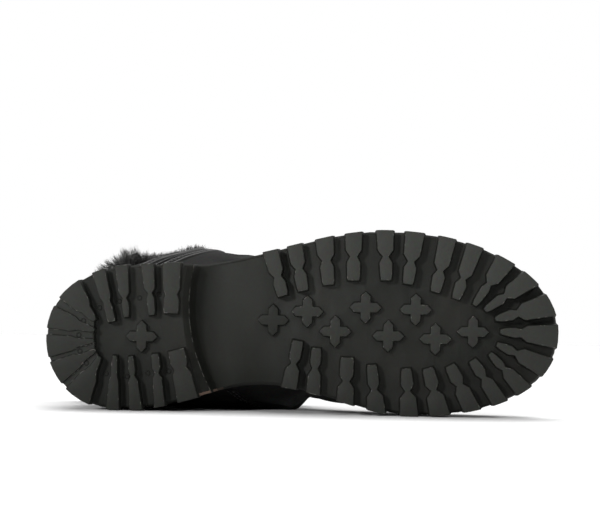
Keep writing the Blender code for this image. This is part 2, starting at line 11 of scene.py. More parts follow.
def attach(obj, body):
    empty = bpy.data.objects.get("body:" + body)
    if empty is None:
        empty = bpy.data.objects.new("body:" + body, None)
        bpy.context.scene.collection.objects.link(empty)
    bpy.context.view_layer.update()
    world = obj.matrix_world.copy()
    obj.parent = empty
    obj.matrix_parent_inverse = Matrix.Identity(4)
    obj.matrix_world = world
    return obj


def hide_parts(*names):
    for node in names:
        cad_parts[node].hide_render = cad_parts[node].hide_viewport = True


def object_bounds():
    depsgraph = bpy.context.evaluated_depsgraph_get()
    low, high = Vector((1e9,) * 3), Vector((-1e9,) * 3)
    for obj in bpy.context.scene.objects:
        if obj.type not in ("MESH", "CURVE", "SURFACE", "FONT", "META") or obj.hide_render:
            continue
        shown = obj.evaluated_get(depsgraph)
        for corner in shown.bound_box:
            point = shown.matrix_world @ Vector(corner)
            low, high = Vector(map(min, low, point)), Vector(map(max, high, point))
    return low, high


# A fur-lined ankle boot, right foot, lying on its inner side on a pale studio floor.
# Boot sizes are in millimetres: x runs from the heel to the toe, h from the tread to the
# collar, z from the floor to the outer side. place() turns them to metres in the frame.

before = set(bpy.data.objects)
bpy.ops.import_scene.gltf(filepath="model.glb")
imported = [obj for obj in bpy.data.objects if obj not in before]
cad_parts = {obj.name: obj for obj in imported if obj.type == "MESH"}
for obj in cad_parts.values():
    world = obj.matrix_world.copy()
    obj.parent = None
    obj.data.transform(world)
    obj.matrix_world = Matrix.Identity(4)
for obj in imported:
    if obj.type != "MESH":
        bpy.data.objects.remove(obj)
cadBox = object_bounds()
mm = 0.001
bootStart = {"x": 0.105, "h": 0.17, "z": 0.768}  # in from the CAD box's corner, up from the floor
bootOrigin = Vector((cadBox[0].x + bootStart["x"] * mm, cadBox[0].y + bootStart["h"] * mm,
                     bootStart["z"] * mm))


def place(x, h, z):
    return bootOrigin + Vector((x, h, z)) * mm


def blendBetween(low, high, value):  # 0 below low, 1 above high, smooth between
    t = np.clip((np.asarray(value, float) - low) / (high - low), 0, 1)
    return t * t * (3 - 2 * t)


# Materials. A pattern's Scale is how often it repeats in a metre, so 1000 is about once a
# millimetre. A wave repeats 20 / 2 pi times as often, or 17.3 / 2 pi on the diagonal.
def linear(hexColour):  # sRGB hex to linear rgba
    parts = [int(hexColour[i:i + 2], 16) / 255 for i in (1, 3, 5)]
    return (*[p / 12.92 if p <= 0.04045 else ((p + 0.055) / 1.055) ** 2.4 for p in parts], 1)


def newMaterial(name, settings):
    material = bpy.data.materials.new(name)
    material.use_nodes = True
    shader = material.node_tree.nodes["Principled BSDF"]
    for key, value in settings.items():
        shader.inputs[key].default_value = value
    return material, material.node_tree, shader


def addNode(tree, kind, settings=None, links=None):  # a node with its values and its sources
    node = tree.nodes.new(kind)
    for key, value in (settings or {}).items():
        if isinstance(key, str) and hasattr(node, key):
            setattr(node, key, value)
        else:
            node.inputs[key].default_value = value
    for key, source in (links or {}).items():
        tree.links.new(source, node.inputs[key])
    return node


# Thermoplastic rubber moulded in a spark-eroded tool: dull near-black. What meets the ground is
# lighter, partly buffed and partly painted light; painted light also makes the tread lighter
# towards the outer side and the toe, and the floors between the lugs stay darker as painted
# shade, most of all just ahead of the heel's breast and under the forefoot. A breath of
# brownish dust in patches of 45 mm, a light brownish line at the waist that is partly dust and
# partly a painted highlight, specks of 1.4 mm, lug edges rubbed pale in spots of 2.4 mm, and a
# painted highlight in spots along the heel's breast. The grain that such a tool leaves is too
# fine to show, so it is drawn coarser, at 0.6 mm.
soleRubber, tree, shader = newMaterial("mouldedSoleRubber", {"Specular IOR Level": 0.12})
coords = addNode(tree, "ShaderNodeTexCoord").outputs["Object"]
patches = addNode(tree, "ShaderNodeTexNoise", {"Scale": 22, "Detail": 3, "Roughness": 0.6},
                  {"Vector": coords})
speckle = addNode(tree, "ShaderNodeTexNoise", {"Scale": 700, "Detail": 2}, {"Vector": coords})
grain = addNode(tree, "ShaderNodeTexNoise", {"Scale": 1800, "Detail": 2}, {"Vector": coords})
dust = addNode(tree, "ShaderNodeMapRange", {"From Min": 0.45, "From Max": 0.7},
               {"Value": patches.outputs["Fac"]})
tone = addNode(tree, "ShaderNodeMix",
               {"data_type": "RGBA", 6: linear("#191a17"), 7: linear("#1f1f1c")},
               {0: dust.outputs["Result"]})
# Painted light and shade with buffing: tread lighter outwards and to the toe, floors darker
buffedAndLitLevel = addNode(tree, "ShaderNodeAttribute", {"attribute_name": "tread"})
buffedAndLitTone = addNode(tree, "ShaderNodeMix", {"data_type": "RGBA", 7: linear("#30312e")},
                 {0: buffedAndLitLevel.outputs["Fac"], 6: tone.outputs[2]})
# A painted highlight in spots along the heel's breast edge, and lug edges rubbed pale in spots.
rubGlint = addNode(tree, "ShaderNodeAttribute", {"attribute_name": "rubGlint"})
paleDots = addNode(tree, "ShaderNodeTexNoise", {"Scale": 420, "Detail": 2}, {"Vector": coords})
rubGlintSum = addNode(tree, "ShaderNodeMath", {"operation": "ADD"},
                  {0: paleDots.outputs["Fac"], 1: rubGlint.outputs["Fac"]})
rubGlintMask = addNode(tree, "ShaderNodeMapRange", {"From Min": 1.18, "From Max": 1.28},
               {"Value": rubGlintSum.outputs[0]})
rubGlintTone = addNode(tree, "ShaderNodeMix", {"data_type": "RGBA", 7: linear("#52524e")},
                  {0: rubGlintMask.outputs["Result"], 6: buffedAndLitTone.outputs[2]})
# A light brownish line on the inner side wall at the waist: partly dust, partly a painted
# highlight.
dustAndGlint = addNode(tree, "ShaderNodeAttribute", {"attribute_name": "dustAndGlint"})
dustGlintTone = addNode(tree, "ShaderNodeMix", {"data_type": "RGBA", 7: linear("#6d5c50")},
                 {0: dustAndGlint.outputs["Fac"], 6: rubGlintTone.outputs[2]})
mottled = addNode(tree, "ShaderNodeMix",
                  {"data_type": "RGBA", "blend_type": "OVERLAY", 0: 0.25},
                  {6: dustGlintTone.outputs[2], 7: speckle.outputs["Color"]})
dull = addNode(tree, "ShaderNodeMapRange", {"To Min": 0.5, "To Max": 0.68},
               {"Value": speckle.outputs["Fac"]})
bump = addNode(tree, "ShaderNodeBump", {"Strength": 0.25, "Distance": 0.0001},
               {"Height": grain.outputs["Fac"]})
tree.links.new(mottled.outputs[2], shader.inputs["Base Color"])
tree.links.new(dull.outputs["Result"], shader.inputs["Roughness"])
tree.links.new(bump.outputs["Normal"], shader.inputs["Normal"])

# The same rubber on the sole's top rim, where the mould's blasted lip leaves it without gloss.
rimRubber = soleRubber.copy()
rimRubber.name = "blastedSoleRim"
rimRubber.node_tree.nodes["Principled BSDF"].inputs["Specular IOR Level"].default_value = 0.02

# Black nubuck: a dull nap in clouds of 25 mm, with a pebbled grain 0.9 mm across that sways
# every 4 mm. Its pores are too fine to show, so they are drawn coarser, at 0.4 mm. Its creases
# are darkened with painted shade, and the ridges between them are a little lighter, partly
# rubbed and partly painted light.
upperLeather, tree, shader = newMaterial("blackNubuck", {"Specular IOR Level": 0.02})
coords = addNode(tree, "ShaderNodeTexCoord").outputs["Object"]
warp = addNode(tree, "ShaderNodeTexNoise", {"Scale": 260, "Detail": 2}, {"Vector": coords})
swayed = addNode(tree, "ShaderNodeVectorMath", {"operation": "MULTIPLY_ADD", 1: (0.0012,) * 3},
                 {0: warp.outputs["Color"], 2: coords})
pebbles = addNode(tree, "ShaderNodeTexVoronoi", {"Scale": 1150, "feature": "SMOOTH_F1"},
                  {"Vector": swayed.outputs[0]})
pores = addNode(tree, "ShaderNodeTexNoise", {"Scale": 2600, "Detail": 3}, {"Vector": coords})
broad = addNode(tree, "ShaderNodeTexNoise", {"Scale": 40, "Detail": 4}, {"Vector": coords})
relief = addNode(tree, "ShaderNodeMath", {"operation": "MULTIPLY_ADD", 1: 0.35},
                 {0: pores.outputs["Fac"], 2: pebbles.outputs["Distance"]})
tone = addNode(tree, "ShaderNodeMix",
               {"data_type": "RGBA", 6: linear("#131313"), 7: linear("#252524")},
               {0: broad.outputs["Fac"]})
# Painted shade darkens the creases; ridges are lighter, partly rubbed and partly painted light.
creased = addNode(tree, "ShaderNodeAttribute", {"attribute_name": "creased"})
trough = addNode(tree, "ShaderNodeMapRange", {"From Min": 0.1, "From Max": 1.6, "To Max": 0.55},
                 {"Value": creased.outputs["Fac"]})
ridge = addNode(tree, "ShaderNodeMapRange", {"From Min": -0.05, "From Max": -0.5, "To Max": 0.8},
                {"Value": creased.outputs["Fac"]})
creaseShade = addNode(tree, "ShaderNodeMix", {"data_type": "RGBA", 7: linear("#0b0b0b")},
                 {0: trough.outputs["Result"], 6: tone.outputs[2]})
ridgeRubAndLight = addNode(tree, "ShaderNodeMix", {"data_type": "RGBA", 7: linear("#333332")},
                     {0: ridge.outputs["Result"], 6: creaseShade.outputs[2]})
grained = addNode(tree, "ShaderNodeMix",
                  {"data_type": "RGBA", "blend_type": "OVERLAY", 0: 0.35},
                  {6: ridgeRubAndLight.outputs[2], 7: pebbles.outputs["Color"]})
satin = addNode(tree, "ShaderNodeMapRange", {"To Min": 0.62, "To Max": 0.8},
                {"Value": broad.outputs["Fac"]})
bump = addNode(tree, "ShaderNodeBump", {"Strength": 0.3, "Distance": 0.00012, "invert": True},
               {"Height": relief.outputs[0]})
tree.links.new(grained.outputs[2], shader.inputs["Base Color"])
tree.links.new(satin.outputs["Result"], shader.inputs["Roughness"])
tree.links.new(bump.outputs["Normal"], shader.inputs["Normal"])

# The same leather folded at its edges, rubbed smoother, so that it catches the light, and
# given a lighter tone as a painted highlight along the folds. Its grain is pressed flatter,
# 0.7 mm across.
edgeLeather, tree, shader = newMaterial("foldedEdgeLeather", {"Specular IOR Level": 0.3})
coords = addNode(tree, "ShaderNodeTexCoord").outputs["Object"]
pores = addNode(tree, "ShaderNodeTexNoise", {"Scale": 1500, "Detail": 3}, {"Vector": coords})
broad = addNode(tree, "ShaderNodeTexNoise", {"Scale": 60, "Detail": 3}, {"Vector": coords})
# The tone, lighter than the nubuck's, is a painted highlight along the folds.
tone = addNode(tree, "ShaderNodeMix",
               {"data_type": "RGBA", 6: linear("#1e1e1e"), 7: linear("#2c2c2b")},
               {0: broad.outputs["Fac"]})
satin = addNode(tree, "ShaderNodeMapRange", {"To Min": 0.45, "To Max": 0.6},
                {"Value": broad.outputs["Fac"]})
bump = addNode(tree, "ShaderNodeBump", {"Strength": 0.25, "Distance": 0.0001},
               {"Height": pores.outputs["Fac"]})
tree.links.new(tone.outputs[2], shader.inputs["Base Color"])
tree.links.new(satin.outputs["Result"], shader.inputs["Roughness"])
tree.links.new(bump.outputs["Normal"], shader.inputs["Normal"])

# Acrylic plush: charcoal at the roots, light grey at the tips, with a soft sheen.
furPile, tree, shader = newMaterial("acrylicPlush", {
    "Roughness": 0.7, "Specular IOR Level": 0.2, "Sheen Weight": 0.15, "Sheen Roughness": 0.5})
along = addNode(tree, "ShaderNodeAttribute", {"attribute_name": "along"})
shade = addNode(tree, "ShaderNodeAttribute", {"attribute_name": "shade"})
tip = addNode(tree, "ShaderNodeMapRange", {"From Min": 0.7, "From Max": 1.0,
                                           "interpolation_type": "SMOOTHSTEP"},
              {"Value": along.outputs["Fac"]})
tipTone = addNode(tree, "ShaderNodeMix",
                  {"data_type": "RGBA", 6: linear("#30302e"), 7: linear("#b0b0aa")},
                  {0: shade.outputs["Fac"]})
hair = addNode(tree, "ShaderNodeMix", {"data_type": "RGBA", 6: linear("#161615")},
               {0: tip.outputs["Result"], 7: tipTone.outputs[2]})
tree.links.new(hair.outputs[2], shader.inputs["Base Color"])

# Short polyester fleece: dark, without gloss, in curls of 1.6 mm.
fleece, tree, shader = newMaterial("shortFleece", {"Roughness": 0.95, "Sheen Weight": 0.4,
                                                   "Specular IOR Level": 0.2})
coords = addNode(tree, "ShaderNodeTexCoord").outputs["Object"]
curls = addNode(tree, "ShaderNodeTexNoise", {"Scale": 620, "Detail": 4, "Distortion": 1.2},
                {"Vector": coords})
tone = addNode(tree, "ShaderNodeMix",
               {"data_type": "RGBA", 6: linear("#1c1c1b"), 7: linear("#454543")},
               {0: curls.outputs["Fac"]})
bump = addNode(tree, "ShaderNodeBump", {"Strength": 0.9, "Distance": 0.0008},
               {"Height": curls.outputs["Fac"]})
tree.links.new(tone.outputs[2], shader.inputs["Base Color"])
tree.links.new(bump.outputs["Normal"], shader.inputs["Normal"])

# Knitted ground of the plush: near-black loops 0.9 mm apart, seen only between the strands.
furKnit, tree, shader = newMaterial("plushKnitGround", {
    "Roughness": 0.95, "Specular IOR Level": 0.1})
coords = addNode(tree, "ShaderNodeTexCoord").outputs["Object"]
loops = addNode(tree, "ShaderNodeTexVoronoi", {"Scale": 1100}, {"Vector": coords})
tone = addNode(tree, "ShaderNodeMix",
               {"data_type": "RGBA", 6: linear("#2a2a29"), 7: linear("#151515")},
               {0: loops.outputs["Distance"]})
bump = addNode(tree, "ShaderNodeBump", {"Strength": 0.6, "Distance": 0.0004, "invert": True},
               {"Height": loops.outputs["Distance"]})
tree.links.new(tone.outputs[2], shader.inputs["Base Color"])
tree.links.new(bump.outputs["Normal"], shader.inputs["Normal"])

# Woven polyester tape: dull black, darker still as painted shade of the gap between the lips,
# with threads 0.5 mm apart.
zipTape, tree, shader = newMaterial("wovenZipTape", {
    "Roughness": 0.85, "Specular IOR Level": 0.005})
coords = addNode(tree, "ShaderNodeTexCoord").outputs["Object"]
threads = addNode(tree, "ShaderNodeTexWave", {"Scale": 640, "bands_direction": "Y"},
                  {"Vector": coords})
# The near-black tone is the tape's black made darker as painted shade of the gap between the lips.
tone = addNode(tree, "ShaderNodeMix",
               {"data_type": "RGBA", 6: linear("#050505"), 7: linear("#0c0c0c")},
               {0: threads.outputs["Fac"]})
bump = addNode(tree, "ShaderNodeBump", {"Strength": 0.4, "Distance": 0.00015},
               {"Height": threads.outputs["Fac"]})
tree.links.new(tone.outputs[2], shader.inputs["Base Color"])
tree.links.new(bump.outputs["Normal"], shader.inputs["Normal"])

# Injection-moulded acetal teeth: black with a smooth low gloss, a little hazed in spots of
# 1.1 mm.
zipPlastic, tree, shader = newMaterial("acetalZipTeeth", {
    "Base Color": linear("#171717"), "Specular IOR Level": 0.06})
coords = addNode(tree, "ShaderNodeTexCoord").outputs["Object"]
haze = addNode(tree, "ShaderNodeTexNoise", {"Scale": 900}, {"Vector": coords})
gloss = addNode(tree, "ShaderNodeMapRange", {"To Min": 0.28, "To Max": 0.42},
                {"Value": haze.outputs["Fac"]})
tree.links.new(gloss.outputs["Result"], shader.inputs["Roughness"])

# Bonded nylon thread: black with a slight shine, and a twist of 0.7 mm a turn.
thread, tree, shader = newMaterial("bondedNylonThread", {
    "Roughness": 0.45, "Specular IOR Level": 0.2})
coords = addNode(tree, "ShaderNodeTexCoord").outputs["Object"]
twist = addNode(tree, "ShaderNodeTexWave", {"Scale": 520, "bands_direction": "DIAGONAL"},
                {"Vector": coords})
tone = addNode(tree, "ShaderNodeMix",
               {"data_type": "RGBA", 6: linear("#1d1d1d"), 7: linear("#343433")},
               {0: twist.outputs["Fac"]})
tree.links.new(tone.outputs[2], shader.inputs["Base Color"])

# Painted studio floor, white and dull.
floorPaint, tree, shader = newMaterial("whiteFloorPaint", {
    "Base Color": linear("#f4f4f4"), "Roughness": 0.9})
print("materials ready")


# Shared steps
def newMesh(name, bm):
    mesh = bpy.data.meshes.new(name)
    bm.to_mesh(mesh)
    bm.free()
    return mesh


def newObject(name, bm):
    piece = bpy.data.objects.new(name, newMesh(name, bm))
    bpy.context.scene.collection.objects.link(piece)
    return piece


# Camera, floor and lights
cameraSizes = {"eye": (185.7, -1300, 48.36), "aim": (136.5, 0, 85.7), "lens": 144.66,
               "sensor": 36, "roll": 1.109}
floorSizes = {"radius": 6, "segments": 96}  # metres
eye, aim = place(*cameraSizes["eye"]), place(*cameraSizes["aim"])
forward = (aim - eye).normalized()
roll = math.radians(cameraSizes["roll"])
right = Vector((math.cos(roll), 0, math.sin(roll)))
right = (right - forward * right.dot(forward)).normalized()
turn = Matrix((right, right.cross(forward), -forward)).transposed().to_4x4()
cameraData = bpy.data.cameras.new("camera")
cameraData.lens = cameraSizes["lens"]
cameraData.sensor_width = cameraSizes["sensor"]
camera = bpy.data.objects.new("camera", cameraData)
camera.matrix_world = Matrix.Translation(eye) @ turn
bpy.context.scene.collection.objects.link(camera)
bpy.context.scene.camera = camera

bm = bmesh.new()
bmesh.ops.create_circle(bm, cap_ends=True, segments=floorSizes["segments"],
                        radius=floorSizes["radius"])
floor = newObject("floor", bm)
floor.data.materials.append(floorPaint)

# The eye sees white all round. The light itself comes from the backdrop behind the boot and
# from the lamps, and the room in front of the tread is dim.
studioLight = {"room": 0.1, "backdrop": 1.0, "edges": (-0.3, 0.5), "horizon": 0.3,
               "horizonTop": 0.45}
world = bpy.data.worlds.new("studio")
world.use_nodes = True
tree = world.node_tree
heading = addNode(tree, "ShaderNodeSeparateXYZ", None,
                  {0: addNode(tree, "ShaderNodeTexCoord").outputs["Generated"]})
behind = addNode(tree, "ShaderNodeMapRange",
                 {"From Min": studioLight["edges"][0], "From Max": studioLight["edges"][1],
                  "To Min": studioLight["room"], "To Max": studioLight["backdrop"]},
                 {"Value": heading.outputs["Y"]})
height = addNode(tree, "ShaderNodeMapRange",
                 {"From Min": 0.0, "From Max": studioLight["horizonTop"],
                  "To Min": studioLight["horizon"], "To Max": 1.0}, {"Value": heading.outputs["Z"]})
lit = addNode(tree, "ShaderNodeMath", {"operation": "MULTIPLY"},
              {0: behind.outputs["Result"], 1: height.outputs["Result"]})
seen = addNode(tree, "ShaderNodeMix", {3: 1.0},
               {0: addNode(tree, "ShaderNodeLightPath").outputs["Is Camera Ray"],
                2: lit.outputs[0]})
background = tree.nodes["Background"]
background.inputs["Color"].default_value = (1, 1, 1, 1)
tree.links.new(seen.outputs[0], background.inputs["Strength"])
bpy.context.scene.world = world
bpy.context.scene.view_settings.view_transform = "Standard"

lightTable = [
    # name, kind, place in boot sizes, what it faces, size in metres or angle, watts
    ("key", "AREA", (-1650, -3000, 1070), (140, 0, 50), 0.4, 86.0),
    ("fill", "AREA", (420, -620, 560), (220, 0, 60), 0.5, 2.6),
    ("overhead", "SUN", (100, 500, 900), (140, 0, 0), 50, 2.2),
]
for name, kind, spot, facing, size, power in lightTable:
    lamp = bpy.data.lights.new(name, kind)
    lamp.energy = power
    if kind == "AREA":
        lamp.size = size
    else:
        lamp.angle = math.radians(size)
    light = bpy.data.objects.new(name, lamp)
    light.location = place(*spot)
    light.rotation_mode = "QUATERNION"
    light.rotation_quaternion = (place(*facing) - place(*spot)).to_track_quat("-Z", "Y")
    bpy.context.scene.collection.objects.link(light)
print("camera, floor and lights ready")


# Steps for the pieces
stepSizes = {"weld": 0.01, "joinFlat": 60, "joinShape": 80, "floorClear": 0.05}  # mm, degrees


def copyOf(node):  # a CAD node's triangles, welded
    bm = bmesh.new()
    bm.from_mesh(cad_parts[node].data)
    bmesh.ops.remove_doubles(bm, verts=bm.verts, dist=stepSizes["weld"] * mm)
    return bm


def quadsOf(node):  # the same, its triangles joined to quads
    bm = copyOf(node)
    bmesh.ops.join_triangles(
        bm, faces=bm.faces, angle_face_threshold=math.radians(stepSizes["joinFlat"]),
        angle_shape_threshold=math.radians(stepSizes["joinShape"]), topology_influence=2)
    return bm


def storeValues(piece, name, domain, values):  # a number at each point or face
    piece.data.attributes.new(name, "FLOAT", domain).data.foreach_set("value", values)


def rounded(bm, levels):  # its shape after that many levels of subdivision
    cage = newObject("cage", bm)
    modifier = cage.modifiers.new("subdivision", "SUBSURF")
    modifier.levels = modifier.render_levels = levels
    finer = bmesh.new()
    finer.from_mesh(cage.evaluated_get(bpy.context.evaluated_depsgraph_get()).to_mesh())
    bpy.data.objects.remove(cage)
    return finer


def finishPiece(name, bm, materials, replaced=None, sharp=None):
    for vert in bm.verts:  # what reaches the floor lies flat just over it
        vert.co.z = max(vert.co.z, stepSizes["floorClear"] * mm)
    piece = newObject(name, bm)
    for material in materials:
        piece.data.materials.append(material)
    piece.data.shade_smooth()
    if sharp:
        piece.data.set_sharp_from_angle(angle=math.radians(sharp))
    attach(piece, "root")
    if replaced:
        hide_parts(replaced)
    print(name, len(piece.data.polygons), "faces")
    return piece


# The outsole: the CAD solid with its edges rounded, and the mould's ring marks.
soleSizes = {
    "flat": 1.0, "sharp": 28, "smooth": 35,  # degrees
    "edgeRound": 0.35, "overshoot": 0.7,  # mm, and the share of it that a vertex may stray
    "toeSpringX": (0, 205, 225, 245, 262, 277), "toeSpringH": (0, 0, 0.8, 3.2, 6.6, 10.5),
    # how light the tread is, partly buffed and partly painted light and shade: on what stands up
    # to a height, and on the floors between
    "groundLean": -0.9, "lugTone": 1.0, "lugTop": 1.5, "crossTone": 0.75, "crossTop": 4.2,
    "sideZ": (15, 85), "sideTone": (0.5, 0.48), "lengthX": (60, 240), "lengthTone": (0.74, 0.26),
    "floorTone": 0.42, "heelEnd": 74, "waistX": (84, 106), "foreX": (130, 200), "foreFade": 0.85,
    # the rim without gloss, along the outer side
    "rimLean": (-0.93, -0.12), "rimUp": 0.3, "rimZ": 60, "rimAbove": 2,
    # a painted highlight along the heel's breast, and edges rubbed pale round the lugs
    "breastX": 76.2, "breastZ": 58, "breastCurve": 0.0057, "breastH": (8.5, 11),
    "breastNear": 0.7, "breastLean": 0.6, "breastGlint": 0.73,
    "lugLean": (-0.93, -0.3), "lugAbove": 5, "lugWear": 0.61,
    # a light brownish line at the waist, on the inner side: partly dust, partly a painted highlight
    "lineFrom": (72, 82), "lineTo": (88, 96), "lineZ": 30, "lineAbove": 5, "lineLean": -0.2,
    "lineIn": -0.3,
}
ringSizes = {"radius": 1.15, "wire": 0.3, "height": 6.5, "backHeight": 1.4, "backEnd": 24,
             "backZ": (24, 50)}
# Where the mould's ejector pins left a ring: (x, z)
ringPlaces = [(27.8, 54.5), (19.8, 47.3), (17.5, 39.5), (18.2, 30.9), (21.9, 24.4), (32.2, 18.9),
              (43.6, 17.5), (54.8, 19.6), (66.2, 20.8), (38.5, 58.2), (49.5, 60.3), (60.0, 62.4)]

bm = copyOf("outsole")
moulded = BVHTree.FromBMesh(bm)
bmesh.ops.dissolve_limit(bm, angle_limit=math.radians(soleSizes["flat"]), verts=bm.verts,
                         edges=bm.edges)
sharpEdges = [e for e in bm.edges if e.calc_face_angle(0) > math.radians(soleSizes["sharp"])]
bmesh.ops.bevel(bm, geom=sharpEdges, affect="EDGES", offset=soleSizes["edgeRound"] * mm,
                segments=2, profile=0.5, material=-1, clamp_overlap=False)
for vert in bm.verts:  # a bevel overshoots where edges crowd together, so it is brought back
    nearest, _, _, away = moulded.find_nearest(vert.co)
    if away > soleSizes["overshoot"] * soleSizes["edgeRound"] * mm:
        vert.co = nearest
bmesh.ops.triangulate(bm, faces=[f for f in bm.faces if len(f.verts) > 4])


def within(value, limits):
    return limits[0] < value < limits[1]


# Buffing plus painted light and shade: lighter outwards and to the toe, floors left darker
def treadTone(x, z, above):  # 0 to 1; what stands is lighter outwards and towards the toe
    outer = float(blendBetween(*soleSizes["sideZ"], z))
    onFloor = soleSizes["floorTone"] * outer
    if x > soleSizes["heelEnd"]:
        onFloor *= float(blendBetween(*soleSizes["waistX"], x)
                         * (1 - soleSizes["foreFade"] * blendBetween(*soleSizes["foreX"], x)))
    onLug = (soleSizes["lugTone"] if above < soleSizes["lugTop"]
             else soleSizes["crossTone"] if above < soleSizes["crossTop"] else 0.0)
    inner, gain = soleSizes["sideTone"]
    heel, more = soleSizes["lengthTone"]
    onLug *= (inner + gain * outer) * (heel + more * float(blendBetween(*soleSizes["lengthX"], x)))
    return max(onLug, onFloor)


# A face leans by its normal, whose y is -1 where it looks at the ground.
bm.verts.index_update()
treadOf, rubGlint, dustAndGlint = {}, [], []
for face in bm.faces:
    x, h, z = (face.calc_center_median() - bootOrigin) / mm
    lean = face.normal
    above = h - np.interp(x, soleSizes["toeSpringX"], soleSizes["toeSpringH"])
    # painted light and shade, with buffing, on the faces that look at the ground
    if lean.y < soleSizes["groundLean"]:
        level = treadTone(x, z, above)
        for vert in face.verts:
            treadOf[vert.index] = max(level, treadOf.get(vert.index, 0.0))
    if (within(lean.y, soleSizes["rimLean"]) and lean.z > soleSizes["rimUp"]
            and z > soleSizes["rimZ"] and above > soleSizes["rimAbove"]):
        face.material_index = 1
    # the breast's edge gets a painted highlight, the lugs' edges are rubbed pale
    breast = soleSizes["breastX"] + soleSizes["breastCurve"] * (z - soleSizes["breastZ"]) ** 2
    onBreast = (abs(x - breast) < soleSizes["breastNear"] and within(h, soleSizes["breastH"])
                and lean.x > soleSizes["breastLean"])
    onLug = within(lean.y, soleSizes["lugLean"]) and above < soleSizes["lugAbove"]
    rubGlint.append(soleSizes["breastGlint"] if onBreast else soleSizes["lugWear"] if onLug else 0.0)
    # the waist's inner side wall: a brownish line, partly dust, partly a painted highlight
    onWaist = (lean.z < soleSizes["lineIn"] and lean.y < soleSizes["lineLean"]
               and z < soleSizes["lineZ"] and above > soleSizes["lineAbove"])
    waistDustGlint = float(blendBetween(*soleSizes["lineFrom"], x)
                      * (1 - blendBetween(*soleSizes["lineTo"], x)))
    dustAndGlint.append(waistDustGlint if onWaist else 0.0)
tread = [treadOf.get(v.index, 0.0) for v in bm.verts]
outsole = finishPiece("outsole_rubber", bm, [soleRubber, rimRubber], "outsole",
                      sharp=soleSizes["smooth"])
storeValues(outsole, "tread", "POINT", tread)
storeValues(outsole, "rubGlint", "FACE", rubGlint)
storeValues(outsole, "dustAndGlint", "FACE", dustAndGlint)

bm = bmesh.new()
for x, z in ringPlaces:
    wire = bmesh.ops.create_circle(bm, segments=8, radius=ringSizes["wire"] * mm)["verts"]
    bmesh.ops.translate(bm, verts=wire, vec=(ringSizes["radius"] * mm, 0, 0))
    bmesh.ops.spin(bm, geom=wire + list({e for v in wire for e in v.link_edges}), cent=(0, 0, 0),
                   axis=(0, 1, 0), steps=18, angle=2 * math.pi, use_merge=True)
    ring = [v for v in bm.verts if not v.tag]
    atBack = x < ringSizes["backEnd"] and within(z, ringSizes["backZ"])  # shallower grooves
    height = ringSizes["backHeight" if atBack else "height"]
    bmesh.ops.translate(bm, verts=ring, vec=place(x, height, z))
    for v in ring:
        v.tag = True
bmesh.ops.recalc_face_normals(bm, faces=bm.faces)
finishPiece("mould_marks", bm, [soleRubber])


# The upper: a smooth leather shell, with listed creases.
upperSizes = {"levels": 2, "middleZ": 44, "rimH": 44, "rimAngle": 1.0, "shaftX": 68,
              "shaftFoot": (45, 42), "shaftTop": 130, "vampEnd": (240, 33, 44),
              "creaseReach": 2.2, "creaseFall": 1.6, "creaseEnds": (0.02, 0.98)}
# rimAngle is in radians, and a crease reaches this many of its half widths.
# Soft troughs and ridges pressed in: from (x, h) to (x, h), half width, depth with
# ridges negative, on the outer side (1), the inner side (-1) or both (0)
creaseTable = [
    ((104, 52), (142, 70), 4.5, 1.6, 0),
    ((98, 62), (140, 84), 5.0, -0.9, 0),
    ((96, 74), (138, 96), 4.8, 1.9, 0),
    ((100, 84), (134, 106), 5.0, -0.8, 0),
    ((90, 58), (114, 46), 4.5, 1.0, 1),
    ((88, 90), (108, 72), 6.5, 0.9, 1),
    ((20, 66), (40, 84), 6.0, 1.0, 0),
    ((12, 88), (36, 100), 7.0, 0.9, 0),
    ((166, 74), (190, 58), 5.0, 1.0, 1),
    ((180, 66), (204, 50), 5.0, 1.1, 1),
    ((172, 60), (192, 50), 4.0, 0.8, -1),
    ((196, 62), (214, 44), 5.0, 0.8, 1),
    ((126, 72), (166, 66), 13.0, -4.5, -1),
    ((138, 54), (172, 48), 12.0, -4.0, -1),
]


def axisPoint(x, h):  # the nearest point of the foot's axis: down the shaft, then to the toe
    level = min(max(h, upperSizes["shaftFoot"][0]), upperSizes["shaftTop"])
    shaft = Vector((upperSizes["shaftX"], level, upperSizes["middleZ"]))
    start = Vector((upperSizes["shaftX"], *upperSizes["shaftFoot"]))
    end = Vector(upperSizes["vampEnd"])
    t = min(max((x - start.x) / (end.x - start.x), 0), 1)
    vamp = start.lerp(end, t)
    here = Vector((x, h, upperSizes["middleZ"]))
    return shaft if (here - shaft).length < (here - vamp).length else vamp


def inBoot(point):
    return (point - bootOrigin) / mm


def creaseDepth(point):  # mm inwards
    x, h, z = point
    depth = 0.0
    for (x0, h0), (x1, h1), half, deep, side in creaseTable:
        if side * (z - upperSizes["middleZ"]) < 0:
            continue
        run = Vector((x1 - x0, h1 - h0))
        t = min(max(((x - x0) * run.x + (h - h0) * run.y) / run.length_squared, 0), 1)
        away = math.hypot(x - x0 - run.x * t, h - h0 - run.y * t)
        if away < upperSizes["creaseReach"] * half:
            first, last = upperSizes["creaseEnds"]
            ends = math.sin(math.pi * min(max(t, first), last)) ** 0.5
            depth += deep * ends * math.exp(-(away / half) ** 2 * upperSizes["creaseFall"])
    return depth


